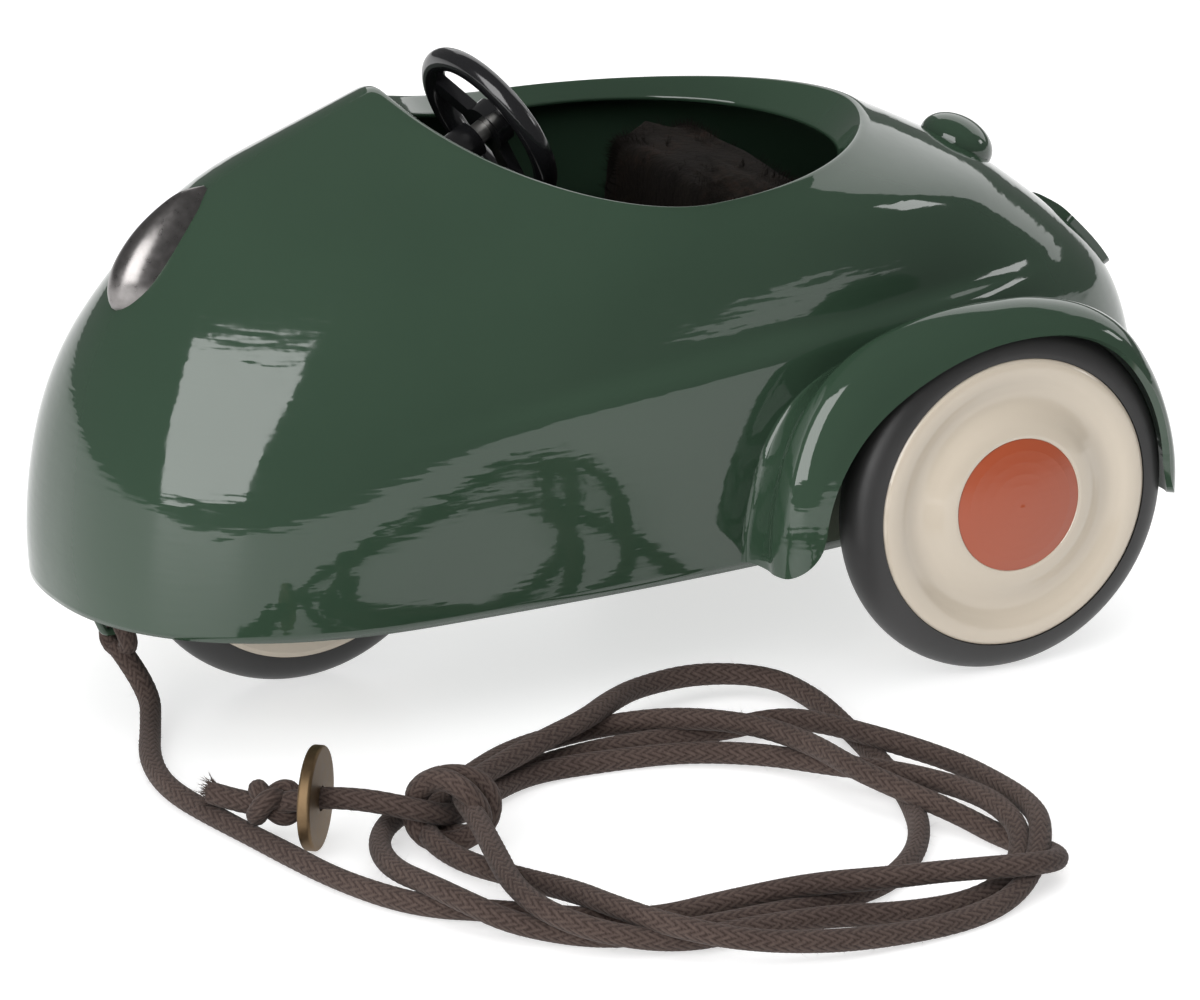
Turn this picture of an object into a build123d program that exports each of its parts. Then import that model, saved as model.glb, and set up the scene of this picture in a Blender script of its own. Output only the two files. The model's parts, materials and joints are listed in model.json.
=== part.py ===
from build123d import *
import math
import os

# A pressed-metal, three-wheeled pull-along car for a small doll.
# Millimetres, +X is the front, +Y is the left side, +Z is up.
# Shapes are drawn with X = 0 at the rear axle and the ground at Z = 0, and
# are moved by CAR_MIDDLE when written, so that the origin lies under the
# middle of the car.

os.makedirs("parts", exist_ok=True)

# ---------------------------------------------------------------- driving sizes
CAR_MIDDLE = 40.43
WALL = 1.2
SHEET = 1.0

TYRE_R = 24.1
TYRE_TUBE_R = 3.8
DISC_R = 20.0
DISC_PLANE = 4.0
DISC_SEAT = 3.2
CENTRE_R = 9.2
HUB_R = 3.0
AXLE_R = 1.5
RUNNING_GAP = 0.05

REAR_TRACK_HALF = 39.0
FRONT_AXLE_X = 86.0
FLOOR_Z = 17.6

CORD_R = 1.4
EYE_WIRE_R = 0.6

# Rings round the body, from the bottom edge up to the edge of the cockpit:
# front x and z, half width and its z, x of the widest place, rear x and z,
# and how square the front and the rear of the ring are.
RINGS = [
    (121.3, 16.8, 32.7, 16.8, 79.7, -39.3, 16.8, 2.3, 2.3),
    (121.4, 24.5, 34.0, 25.5, 77.0, -40.6, 23.5, 2.3, 2.3),
    (119.8, 36.7, 34.8, 35.5, 71.5, -39.6, 31.5, 2.3, 2.3),
    (115.8, 48.7, 34.8, 44.3, 65.0, -36.5, 40.8, 2.25, 2.25),
    (109.3, 59.2, 34.0, 51.5, 56.2, -29.9, 48.8, 2.15, 2.2),
    (99.9, 69.2, 32.8, 59.0, 47.8, -20.7, 56.5, 2.05, 2.2),
    (89.3, 74.8, 31.5, 64.2, 41.2, -12.5, 62.2, 1.85, 2.1),
    (73.4, 80.9, 30.2, 68.1, 40.3, 2.6, 70.2, 1.75, 1.8),
]
LIP_RING = (70.8, 77.2, 27.2, 65.9, 38.0, 7.4, 66.0, 1.75, 2.0)
TOP = len(RINGS) - 1
FRONT_DROP = 1.15
REAR_DROP = 1.7
SHOULDER_SWELL = 2.2


# ---------------------------------------------------------------- body surface
def ring_at(height):
    """The ring at a height from 0, the bottom edge, to TOP, the cockpit edge."""
    low = min(int(height), TOP - 1)
    t = height - low
    rows = [RINGS[min(max(low + k, 0), TOP)] for k in (-1, 0, 1, 2)]
    ring = []
    for a, b, c, d in zip(*rows):
        bend = 2 * a - 5 * b + 4 * c - d
        twist = 3 * b - a - 3 * c + d
        ring.append(0.5 * (2 * b + (c - a) * t + bend * t**2 + twist * t**3))
    return ring


def on_ring(ring, turn):
    front_x, front_z, half, side_z, mid_x, rear_x, rear_z, n_front, n_rear = ring
    ahead = math.cos(turn) >= 0
    reach = front_x - mid_x if ahead else rear_x - mid_x
    end_z = front_z if ahead else rear_z
    power = n_front if ahead else n_rear
    along = abs(math.cos(turn)) ** (2 / power)
    across = abs(math.sin(turn)) ** (2 / power)
    drop = across ** (FRONT_DROP if ahead else REAR_DROP)
    side = half * across if math.sin(turn) > 0 else -half * across
    if abs(math.sin(turn)) < 1e-9:
        side = 0.0
    return Vector(mid_x + reach * along, side, end_z + (side_z - end_z) * drop)


def ease(start, end, x):
    t = min(max((x - start) / (end - start), 0.0), 1.0)
    return t * t * (3 - 2 * t)


def shoulder_z(x):
    """Height of the crease along the flank."""
    return 48.9 - 0.00088 * x * x


def swell(point):
    """How far the flank stands out below the crease, and in above it."""
    size = SHOULDER_SWELL * ease(98, 32, point.X) * ease(-24, 4, point.X)
    d = point.Z - shoulder_z(point.X)
    return -0.5 * size * math.tanh(d / 1.3) * math.exp(-abs(d) / 14)


def outward(height, turn):
    step = 0.001
    above = on_ring(ring_at(min(height + step, TOP)), turn)
    below = on_ring(ring_at(max(height - step, 0)), turn)
    ring = ring_at(height)
    round_it = on_ring(ring, turn + step) - on_ring(ring, turn - step)
    return round_it.cross(above - below).normalized()


def skin(height, turn, inset=0.0):
    """A point of the body, or of a surface that lies inset inside it."""
    point = on_ring(ring_at(height), turn)
    return point + outward(height, turn) * (swell(point) - inset)


def crease_height(turn):
    low, high = 1.0, 5.0
    for _ in range(30):
        mid = (low + high) / 2
        point = on_ring(ring_at(mid), turn)
        if point.Z < shoulder_z(point.X):
            low = mid
        else:
            high = mid
    return low


def rib(turn):
    """The closed outline of the sheet on one side of the body at one turn."""
    crease = crease_height(turn)
    last = TOP - 0.12
    heights = [crease * t for t in (0, 0.28, 0.58, 0.82, 0.94, 1)]
    heights += [crease + (last - crease) * t for t in (0.06, 0.16, 0.36, 0.58, 0.8, 1)]
    outer = [skin(h, turn) for h in heights]
    inner = [skin(h, turn, WALL) for h in heights]
    inner[0] = Vector(inner[0].X, inner[0].Y, outer[0].Z)
    edge = on_ring(RINGS[TOP], turn)
    lip = on_ring(LIP_RING, turn)
    fall = (lip - edge).normalized()
    start_lip = edge + fall * 0.8
    round_mid = edge * 0.5 + (outer[-1] + start_lip) * 0.25
    under = fall.cross(Vector(-math.sin(turn), math.cos(turn), 0)).normalized()
    if under.Z > 0:
        under = under * -1
    lip_in = lip + under * WALL * 0.8
    return Wire([
        Spline(*outer).edge(),
        Spline(outer[-1], round_mid, start_lip).edge(),
        Line(start_lip, lip).edge(),
        Line(lip, lip_in).edge(),
        Line(lip_in, inner[-1]).edge(),
        Spline(*reversed(inner)).edge(),
        Line(inner[0], outer[0]).edge(),
    ])


def make_body():
    turns = [math.pi * k / 24 for k in range(25)]
    half = Solid.make_loft([rib(t) for t in turns])
    shell = half.fuse(half.mirror(Plane.XZ))
    axle_hole = Pos(0, 0, TYRE_R) * Rot(90, 0, 0) * Cylinder(HUB_R + 0.2, 80)
    return shell - axle_hole


# ---------------------------------------------------------------- helpers
def tube(r_out, r_in, y0, y1, x=0.0, z=0.0):
    """A sleeve along Y, or a rod when r_in is 0."""
    place = Pos(x, (y0 + y1) / 2, z) * Rot(90, 0, 0)
    piece = place * Cylinder(r_out, y1 - y0)
    if r_in > 0:
        piece -= place * Cylinder(r_in, y1 - y0 + 2)
    return piece


def turned(points, x, y, z, side=1):
    """Turns an (r, y) outline about the Y axis through (x, z)."""
    flat = make_face(Polyline(*[(r, h * side) for r, h in points], close=True))
    return Pos(x, y, z) * revolve(flat, Axis.Y)


def box(x0, x1, y0, y1, z0, z1):
    middle = Pos((x0 + x1) / 2, (y0 + y1) / 2, (z0 + z1) / 2)
    return middle * Box(x1 - x0, y1 - y0, z1 - z0)


def both_sides(piece):
    return Compound([piece, mirror(piece, Plane.XZ)])


# ---------------------------------------------------------------- fenders
FENDER_X = 2.5
FENDER_Z = 20.7
FENDER_FRONT_TURN = -5
FENDER_REAR_TURN = 180
FENDER_EDGE_Y = 43.5
FENDER_CROWN_Y = 38.5

# Radius of the fender's outer edge and of its crown at each turn, in degrees.
FENDER_EDGE = [
    (-5, 26.3), (13, 26.6), (36, 26.2), (60, 25.4), (75, 25.5), (89, 26.1),
    (101, 26.9), (119, 28.5), (131, 28.9), (146, 28.4), (162, 27.2), (180, 25.8),
]
FENDER_CROWN = [
    (-5, 31.6), (15, 32.1), (35, 33.2), (50, 33.1), (70, 31.5), (90, 30.5),
    (105, 31.1), (120, 32.0), (131, 32.0), (143, 30.9), (156, 29.8), (180, 28.9),
]
# From the crown in to the body: radius added, and share of the way in, first
# where the fender runs out into the flank, then where it arches over the wheel.
RUN_OUT = [(-0.15, 0.3), (0.1, 0.65), (0.8, 0.92), (2.2, 1.0)]
ARCHED = [(-0.5, 0.2), (-1.9, 0.5), (-3.3, 0.8), (-4.0, 1.0)]


def body_side_y(x, z):
    """Half width of the body at a place beside it."""
    low, high = 0.02, math.pi - 0.02
    for _ in range(26):
        turn = (low + high) / 2
        below, above = 0.0, float(TOP)
        for _ in range(26):
            height = (below + above) / 2
            if on_ring(ring_at(height), turn).Z < z:
                below = height
            else:
                above = height
        if on_ring(ring_at(height), turn).X > x:
            low = turn
        else:
            high = turn
    return skin(height, turn).Y


def along(table, turn):
    """A smooth value between the pairs of a table."""
    k = max(i for i, pair in enumerate(table[:-1]) if pair[0] <= turn)
    rows = [table[min(max(k + j, 0), len(table) - 1)] for j in (-1, 0, 1, 2)]
    (t0, a), (t1, b), (t2, c), (t3, d) = rows
    t = (turn - t1) / (t2 - t1)
    slope_b = (c - a) / (t2 - t0) * (t2 - t1)
    slope_c = (d - b) / (t3 - t1) * (t2 - t1)
    bend = 3 * (c - b) - 2 * slope_b - slope_c
    twist = 2 * (b - c) + slope_b + slope_c
    return b + slope_b * t + bend * t**2 + twist * t**3


def fender_line(turn):
    """(radius, y) points over the fender, from its outer edge to the body."""
    c = math.cos(math.radians(turn))
    s = math.sin(math.radians(turn))
    edge = along(FENDER_EDGE, turn)
    crown = along(FENDER_CROWN, turn)
    arch = ease(20, 62, turn)
    inward = [
        (a[0] + arch * (b[0] - a[0]), a[1] + arch * (b[1] - a[1]))
        for a, b in zip(RUN_OUT, ARCHED)
    ]
    root_r = crown + inward[-1][0]
    root_y = body_side_y(FENDER_X + root_r * c, max(FENDER_Z + root_r * s, 17.2)) - 0.3
    line = [
        (edge, FENDER_EDGE_Y),
        (edge + 0.45 * (crown - edge), 42.7),
        (edge + 0.86 * (crown - edge), 40.9),
        (crown, FENDER_CROWN_Y),
    ]
    for more, share in inward:
        line.append((crown + more, FENDER_CROWN_Y + share * (root_y - FENDER_CROWN_Y)))
    return line


def fender_rib(turn):
    c = math.cos(math.radians(turn))
    s = math.sin(math.radians(turn))
    line = fender_line(turn)
    slopes = []
    for k in range(len(line)):
        a = line[max(k - 1, 0)]
        b = line[min(k + 1, len(line) - 1)]
        size = math.hypot(b[0] - a[0], b[1] - a[1])
        slopes.append(((b[1] - a[1]) / size, -(b[0] - a[0]) / size))
    under = [(r + SHEET * n[0], y + SHEET * n[1]) for (r, y), n in zip(line, slopes)]

    def place(pair):
        return Vector(FENDER_X + pair[0] * c, pair[1], FENDER_Z + pair[0] * s)

    top = [place(p) for p in line]
    low = [place(p) for p in under]
    return Wire([
        Spline(*top).edge(),
        Line(top[-1], low[-1]).edge(),
        Spline(*reversed(low)).edge(),
        Line(low[0], top[0]).edge(),
    ])


def make_fender():
    steps = 23
    span = FENDER_REAR_TURN - FENDER_FRONT_TURN
    ribs = [fender_rib(FENDER_FRONT_TURN + span * k / (steps - 1)) for k in range(steps)]
    return Solid.make_loft(ribs)


# ---------------------------------------------------------------- wheels
def make_tyre(x, y):
    with BuildPart() as tyre:
        with BuildSketch(Plane.XY) as section:
            with BuildLine():
                centre = TYRE_R - TYRE_TUBE_R
                seat = DISC_R + 0.05
                shoulder = math.sqrt(TYRE_TUBE_R**2 - (centre - seat) ** 2)
                Polyline(
                    (seat, shoulder), (seat, DISC_SEAT), (16.5, DISC_SEAT),
                    (16.5, -DISC_SEAT), (seat, -DISC_SEAT), (seat, -shoulder),
                )
                ThreePointArc((seat, -shoulder), (TYRE_R, 0), (seat, shoulder))
            make_face()
        revolve(axis=Axis.Y)
    return Pos(x, y, TYRE_R) * tyre.part


def make_disc(x, y, side):
    """A pressed disc: flat ring, soft valley, step up to the centre's seat."""
    thick = DISC_PLANE - DISC_SEAT
    face = [
        (HUB_R, 2.9), (8.6, 2.9), (9.25, 4.9), (9.6, 4.85), (11.2, 4.3), (12.6, 3.75),
        (13.6, 3.65), (14.8, 3.95), (16.4, DISC_PLANE), (19.3, DISC_PLANE), (DISC_R, 3.75),
    ]
    back = [(DISC_R, DISC_SEAT), (14.8, DISC_SEAT)]
    back += [(13.6, 3.65 - thick), (12.6, 3.75 - thick), (10.2, 4.5 - thick)]
    back += [(9.2, 2.9 - thick), (HUB_R, 2.9 - thick)]
    return turned(face + back, x, y, TYRE_R, side)


def make_centre(x, y, side):
    """The red domed centre, a shallow cap seated in the disc's step."""
    dome = CENTRE_R
    sphere_r = (dome**2 + 1.1**2) / (2 * 1.1)
    outer = []
    inner = []
    for k in range(7):
        r = dome * (1 - k / 6)
        drop = sphere_r - math.sqrt(sphere_r**2 - r**2)
        outer.append((r, 4.95 + 1.1 - drop))
        inner.append((min(r, dome - 0.7), 4.25 + 1.1 - drop))
    outline = [(8.55, 2.95), (dome, 4.95 - 0.1)] + outer[1:] + list(reversed(inner[1:]))
    outline += [(8.2, 3.0)]
    return turned(outline, x, y, TYRE_R, side)


def make_hub(x, y, half):
    return tube(HUB_R, AXLE_R + RUNNING_GAP, y - half, y + half, x, TYRE_R)


def washer(x, y0, y1):
    return tube(HUB_R, AXLE_R, y0, y1, x, TYRE_R)


# ---------------------------------------------------------------- floor
FORK_IN = 8.0
FORK_OUT = 9.2
SLOT_HALF = 7.4
SLOT_REAR_X = 60.4
SLOT_FRONT_X = 110.4
RIVET_R = 1.2
FRONT_RIVETS = [(80.5, 12.6), (91.5, 12.6), (80.5, -12.6), (91.5, -12.6)]
REAR_RIVETS = [(5.5, 15.0), (5.5, -15.0), (-5.5, 15.0), (-5.5, -15.0)]
SEAT_RIVETS = [(33.0, 12.0), (33.0, -12.0)]
POST_RIVETS = [(54.5, 0.0)]


def make_floor():
    edge = []
    for k in range(36):
        turn = -math.pi + 2 * math.pi * (k + 0.5) / 36
        point = skin(0.14, turn, WALL - 0.1)
        edge.append((point.X, point.Y, FLOOR_Z))
    plate = extrude(make_face(Spline(*edge, periodic=True)), SHEET)
    slot = box(SLOT_REAR_X, SLOT_FRONT_X, -SLOT_HALF, SLOT_HALF, FLOOR_Z - 1, FLOOR_Z + 3)
    plate -= fillet(slot.edges().filter_by(Axis.Z), 4)
    for x, y in FRONT_RIVETS + REAR_RIVETS + SEAT_RIVETS + POST_RIVETS:
        plate -= Pos(x, y, FLOOR_Z + 0.5) * Cylinder(RIVET_R, 3)
    return plate - make_tow_eye()


def rivet(x, y, grip):
    """A rivet with a low round head below the floor and a flat one above."""
    shank = Pos(x, y, FLOOR_Z + grip / 2) * Cylinder(RIVET_R, grip)
    lower = Pos(x, y, FLOOR_Z - 0.35) * Cylinder(2.1, 0.7)
    upper = Pos(x, y, FLOOR_Z + grip + 0.35) * Cylinder(1.9, 0.7)
    lower = fillet(lower.edges().group_by(Axis.Z)[0], 0.5)
    return shank + lower + upper


def rivets(places, grip):
    return Compound([rivet(x, y, grip) for x, y in places])


def make_fork():
    top = FLOOR_Z + SHEET
    cheek = box(80, 92, FORK_IN, FORK_OUT, top, TYRE_R + 5.5)
    cheek = fillet(cheek.edges().filter_by(Axis.Y).group_by(Axis.Z)[-1], 4)
    foot = box(77.5, 94.5, FORK_IN, 16.2, top, top + 1.2)
    side = cheek + foot
    for x, y in FRONT_RIVETS[:2]:
        side -= Pos(x, y, top) * Cylinder(RIVET_R, 6)
    side -= tube(AXLE_R, 0, 0, 20, FRONT_AXLE_X, TYRE_R)
    return both_sides(side)


BRACKET_HALF = 22.6


def make_rear_bracket():
    top = FLOOR_Z + SHEET
    base = box(-9, 9, -BRACKET_HALF, BRACKET_HALF, top, top + 1.2)
    cheek = box(-6, 6, BRACKET_HALF - 1.2, BRACKET_HALF, top, TYRE_R + 5)
    cheek = fillet(cheek.edges().filter_by(Axis.Y).group_by(Axis.Z)[-1], 4)
    bracket = base + cheek + mirror(cheek, Plane.XZ)
    bracket -= tube(AXLE_R, 0, -40, 40, 0, TYRE_R)
    for x, y in REAR_RIVETS:
        bracket -= Pos(x, y, top) * Cylinder(RIVET_R, 6)
    return bracket


# ---------------------------------------------------------------- steering
WHEEL_X = 56.7
WHEEL_Z = 73.1
WHEEL_TILT = 28.0
WHEEL_YAW = 8.0
RIM_R = 10.8
RIM_TUBE_R = 1.6
SPINDLE_R = 1.5

# The spindle's own frame: its +Z leans back and up towards the driver.
STEERING = Pos(WHEEL_X, 0, WHEEL_Z) * Rot(0, 0, WHEEL_YAW) * Rot(0, WHEEL_TILT - 90, 0)


def along_spindle(r_out, r_in, a, b):
    piece = Pos(0, 0, (a + b) / 2) * Cylinder(r_out, b - a)
    if r_in > 0:
        piece -= Pos(0, 0, (a + b) / 2) * Cylinder(r_in, b - a + 2)
    return STEERING * piece


def make_steering_wheel():
    rim = Torus(RIM_R, RIM_TUBE_R)
    hub = Pos(0, 0, 0.2) * Cylinder(3.3, 2.4)
    wheel = rim + hub
    for turn in (90, 210, 330):
        spoke = Pos(0, 6.2, -0.1) * Box(2.6, 8.4, 1.6)
        wheel += Rot(0, 0, turn) * spoke
    wheel -= Cylinder(SPINDLE_R, 12)
    return STEERING * wheel


def make_hub_cap():
    skirt = Pos(0, 0, 2.3) * Cylinder(2.8, 1.8)
    dome = Pos(0, 0, 3.2) * Sphere(2.0) & Pos(0, 0, 4.7) * Box(6, 6, 3)
    cap = skirt + dome
    cap -= Pos(0, 0, 1.6) * Cylinder(SPINDLE_R, 1.6)
    return STEERING * cap


def make_column_bracket():
    top = FLOOR_Z + SHEET
    foot = box(50.5, 58.4, -5, 5, top, top + 1.2)
    upright = box(57.2, 58.4, -5, 5, top, 50)
    lean = Pos(60.3, 0, 59.7) * Rot(0, 13.8, 0) * Box(1.2, 10, 21)
    bracket = foot + upright + lean
    bracket -= Pos(POST_RIVETS[0][0], 0, top) * Cylinder(RIVET_R, 6)
    bracket -= along_spindle(2.6, 0, -11.5, -3)
    return bracket


# ---------------------------------------------------------------- seat
def make_seat_frame():
    top = FLOOR_Z + SHEET
    foot = box(26.5, 40, -17, 17, top, top + 1.2)
    riser = box(26.5, 27.7, -17, 17, top, 31)
    shelf = box(15.2, 53, -17, 17, 29.8, 31)
    back = box(15.2, 16.4, -17, 17, 29.8, 58)
    back = fillet(back.edges().filter_by(Axis.X).group_by(Axis.Z)[-1], 5)
    frame = foot + riser + shelf + back
    for x, y in SEAT_RIVETS:
        frame -= Pos(x, y, top) * Cylinder(RIVET_R, 6)
    return frame


def pad(x0, x1, half, z0, z1, radius):
    block = box(x0, x1, -half, half, z0, z1)
    return fillet(block.edges(), radius)


# ---------------------------------------------------------------- trim
def make_lamp():
    """A teardrop blister down the middle of the nose."""
    sections = []
    for s, half, rise in (
        (0.0, 3.0, 0.7), (1.5, 5.2, 1.6), (4.0, 6.9, 2.3), (7.0, 6.4, 2.5),
        (10.0, 5.0, 2.4), (13.0, 3.2, 1.7), (15.4, 1.2, 0.8),
    ):
        height = 3.66 + 0.097 * s
        base = skin(height, 0)
        ahead = outward(height, 0)
        up = Vector(-ahead.Z, 0, ahead.X)
        frame = Plane(origin=base - ahead * 2.4, x_dir=(0, 1, 0), z_dir=up)
        with BuildSketch(frame) as cut:
            Ellipse(half, 2.4 + rise)
        sections.append(cut.sketch.face().outer_wire())
    blister = Solid.make_loft(sections)
    return blister


def make_deck_dome():
    """A green boss behind the cockpit."""
    at = skin(5.78, math.pi)
    out = outward(5.78, math.pi)
    place = Plane(origin=at, x_dir=(0, 1, 0), z_dir=out)
    dome = scale(Sphere(1), by=(5.6, 5.2, 3.7))
    keep = Pos(0, 0, 1.9) * Box(20, 20, 5)
    return place.location * (dome & keep)


def make_tail_plate():
    """A small plate that follows the curve of the tail."""
    ribs = []
    for share in (-1, -0.9, -0.6, 0, 0.6, 0.9, 1):
        reach = 0.55 - 0.15 * abs(share) ** 6
        heights = [3.55 + reach * k / 2 for k in (-2, -1, 0, 1, 2)]
        outer = [skin(h, math.pi - 0.14 * share, -1.0) for h in heights]
        inner = [skin(h, math.pi - 0.14 * share, 0.3) for h in heights]
        for point in outer + inner:
            point.Y = 6.0 * share
        ribs.append(Wire([
            Spline(*outer).edge(),
            Line(outer[-1], inner[-1]).edge(),
            Spline(*reversed(inner)).edge(),
            Line(inner[0], outer[0]).edge(),
        ]))
    return Solid.make_loft(ribs)


def make_tow_eye():
    """A bent wire under the nose, its ends set into the floor."""
    top = FLOOR_Z + SHEET
    path = FilletPolyline(
        (111.5, 0, top), (109.2, 0, 10.9), (114.0, 0, 10.9), (117.4, 0, top),
        radius=1.1,
    )
    with BuildSketch(Plane(origin=path @ 0, z_dir=path % 0)) as section:
        Circle(EYE_WIRE_R)
    eye = sweep(section.sketch, path=path)
    return eye & box(105, 125, -3, 3, 5, top)


# ---------------------------------------------------------------- cord
LEAD_ROUTE = [
    (112.2, -0.2, 8.8), (110.2, 6.0, 4.2), (113.6, 13.5, 1.9), (118.2, 23.0, 1.5),
    (120.6, 34.0, 1.5), (119.2, 46.0, 1.5), (117.0, 59.0, 1.5), (114.6, 73.5, 1.5),
    (109.4, 85.5, 1.5), (101.6, 93.6, 1.6),
]
TAIL_ROUTE = [
    (100.8, 65.6, 6.2), (106.6, 61.7, 7.3), (112.2, 57.1, 6.8), (115.6, 52.4, 4.2),
    (119.4, 45.1, 4.6),
]
DISC_AT = (110.9, 58.15, 6.9)
DISC_FACING = (5.6, -4.6, 0.0)


def cord_tube(route, name):
    """A tube of straight runs joined by arcs as large as the runs allow."""
    points = [Vector(*p) for p in route]
    radii = []
    for a, b, c in zip(points, points[1:], points[2:]):
        turn = math.radians((b - a).get_angle(c - b))
        radii.append(0.45 * min((b - a).length, (c - b).length) / math.tan(turn / 2))
    path = FilletPolyline(*points, radius=radii)
    with BuildSketch(Plane(origin=path @ 0, z_dir=path % 0)) as section:
        Circle(CORD_R)
    piece = sweep(section.sketch, path=path)
    want = math.pi * CORD_R**2 * path.length
    print(name, "length", round(path.length, 1), "radii", [round(r, 1) for r in radii])
    print(name, "volume over section times length", round(piece.volume / want, 4))
    return piece


def make_coil():
    """The outer shape of the loose hank that lies beside the car."""
    outer = Spline(
        (107.8, 70), (104.6, 86), (98.5, 101.5), (86, 111.5), (66, 123.2), (46, 121),
        (30.5, 110), (22.6, 86), (26, 62), (29.0, 44), (30, 33), (37, 25.8), (48, 25.6),
        (61, 34), (74, 41.5), (88, 46), (100, 51.5), (106, 60), periodic=True,
    )
    inner = Spline(
        (86.2, 58), (78, 54.8), (68, 53.8), (59, 56), (51, 60.5), (43, 69), (40.6, 79),
        (44, 89.5), (51, 97.3), (60, 97.6), (70, 96.8), (80, 96.6), (86, 90), (89.5, 79),
        (88.8, 67), periodic=True,
    )
    hank = extrude(make_face(outer) - make_face(inner), 5.6)
    return Pos(0, 0, 0.1) * hank


def make_eye_loop():
    """The cord's end, passed round the tow eye and sewn back to itself."""
    return Pos(112.0, 0, 11.0) * Rot(0, 90, 0) * Torus(2.3, CORD_R)


def make_tie_knot():
    return Pos(97.6, 67.0, 5.6) * scale(Sphere(1), by=(4.4, 6.0, 3.8))


def make_end_knot():
    return Pos(114.5, 52.9, 4.9) * scale(Sphere(1), by=(3.2, 3.9, 3.4))


def make_cord_disc():
    facing = Plane(origin=DISC_AT, z_dir=DISC_FACING)
    disc = Cylinder(6.8, 1.7)
    disc = fillet(disc.edges(), 0.4)
    disc -= Cylinder(CORD_R + 0.25, 4)
    return facing.location * disc


# ---------------------------------------------------------------- all pieces
def wheel_pieces(name, x, y, outer_side, hub_half, capped):
    pieces = {
        f"{name}_tyre": make_tyre(x, y),
        f"{name}_disc_outer": make_disc(x, y, outer_side),
        f"{name}_disc_inner": make_disc(x, y, -outer_side),
        f"{name}_hub": make_hub(x, y, hub_half),
    }
    if capped:
        pieces[f"{name}_centre"] = make_centre(x, y, outer_side)
    return pieces


def make_all():
    fender = make_fender()
    nodes = {
        "body_shell": make_body(),
        "fender_left": fender,
        "fender_right": mirror(fender, Plane.XZ),
        "floor_pan": make_floor(),
        "headlamp": make_lamp(),
        "deck_dome": make_deck_dome(),
        "tail_plate": make_tail_plate(),
        "tow_eye": make_tow_eye(),
        "front_fork": make_fork(),
        "front_axle": tube(AXLE_R, 0, -11.6, 11.6, FRONT_AXLE_X, TYRE_R),
        "front_axle_clips": both_sides(washer(FRONT_AXLE_X, FORK_OUT, 10.0)),
        "rear_axle_bracket": make_rear_bracket(),
        "rear_axle": tube(AXLE_R, 0, -43.4, 43.4, 0, TYRE_R),
        "rear_axle_sleeves": both_sides(washer(0, BRACKET_HALF, 35.0)),
        "rear_axle_clips": both_sides(washer(0, 42.6, 43.2)),
        "rivets_front": rivets(FRONT_RIVETS, SHEET + 1.2),
        "rivets_rear": rivets(REAR_RIVETS, SHEET + 1.2),
        "rivets_cockpit": rivets(SEAT_RIVETS + POST_RIVETS, SHEET + 1.2),
        "seat_frame": make_seat_frame(),
        "seat_cushion": pad(32.6, 52.5, 19, 31.0, 40, 3),
        "seat_back": pad(16.4, 32.0, 19, 31.0, 64.6, 4.5),
        "column_bracket": make_column_bracket(),
        "column_sleeve": along_spindle(2.6, SPINDLE_R + RUNNING_GAP, -11.5, -3),
        "steering_spindle": along_spindle(SPINDLE_R, 0, -13.5, 2.2),
        "spindle_clip": along_spindle(2.4, SPINDLE_R, -12.6, -11.8),
        "steering_wheel": make_steering_wheel(),
        "steering_hub_cap": make_hub_cap(),
        "cord_eye_loop": make_eye_loop(),
        "cord_lead": cord_tube(LEAD_ROUTE, "cord_lead"),
        "cord_coil": make_coil(),
        "cord_tie_knot": make_tie_knot(),
        "cord_tail": cord_tube(TAIL_ROUTE, "cord_tail"),
        "cord_disc": make_cord_disc(),
        "cord_end_knot": make_end_knot(),
    }
    nodes.update(wheel_pieces("wheel_left", 0, REAR_TRACK_HALF, 1, 3.5, True))
    nodes.update(wheel_pieces("wheel_right", 0, -REAR_TRACK_HALF, -1, 3.5, True))
    nodes.update(wheel_pieces("wheel_front", FRONT_AXLE_X, 0, 1, 7.6, False))
    return nodes


for node, shape in make_all().items():
    export_step(Pos(-CAR_MIDDLE, 0, 0) * shape, f"parts/{node}.step")
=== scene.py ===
"""The looks of a pressed-metal pull-along toy car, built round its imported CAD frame.

Shapes are worked out in millimetres with X = 0 at the rear axle, as in the
part's source, and are moved to the row frame, in metres, when a mesh is made.
"""

import json
import math
import random

import bmesh
import bpy
import numpy as np
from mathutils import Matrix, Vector
from mathutils.bvhtree import BVHTree


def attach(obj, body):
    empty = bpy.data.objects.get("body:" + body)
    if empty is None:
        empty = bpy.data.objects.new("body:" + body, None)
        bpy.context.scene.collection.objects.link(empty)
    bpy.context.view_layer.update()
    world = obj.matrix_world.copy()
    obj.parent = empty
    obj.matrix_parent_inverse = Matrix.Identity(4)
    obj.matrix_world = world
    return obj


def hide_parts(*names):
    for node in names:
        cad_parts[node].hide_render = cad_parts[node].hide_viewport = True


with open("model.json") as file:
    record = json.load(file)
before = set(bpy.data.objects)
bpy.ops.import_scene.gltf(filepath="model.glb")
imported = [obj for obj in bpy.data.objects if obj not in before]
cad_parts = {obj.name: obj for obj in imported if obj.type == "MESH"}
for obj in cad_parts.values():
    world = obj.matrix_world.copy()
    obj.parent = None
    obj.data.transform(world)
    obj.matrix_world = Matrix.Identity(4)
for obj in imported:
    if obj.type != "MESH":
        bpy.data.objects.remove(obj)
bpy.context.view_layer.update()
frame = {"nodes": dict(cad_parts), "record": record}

MM = 0.001
CAR_MIDDLE = 40.43

# ------------------------------------------------------------ camera
LOOK_AT = (38.6, -3.0, 16.4)
CAMERA_DISTANCE = 1200.0
CAMERA_AZIMUTH = 62.7
CAMERA_ELEVATION = 19.3
LENS = 264.33
SENSOR = 36.0


def row(point):
    """A point of the working frame, in mm, as a row-frame point in metres."""
    return Vector(((point[0] - CAR_MIDDLE) * MM, point[1] * MM, point[2] * MM))


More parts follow.
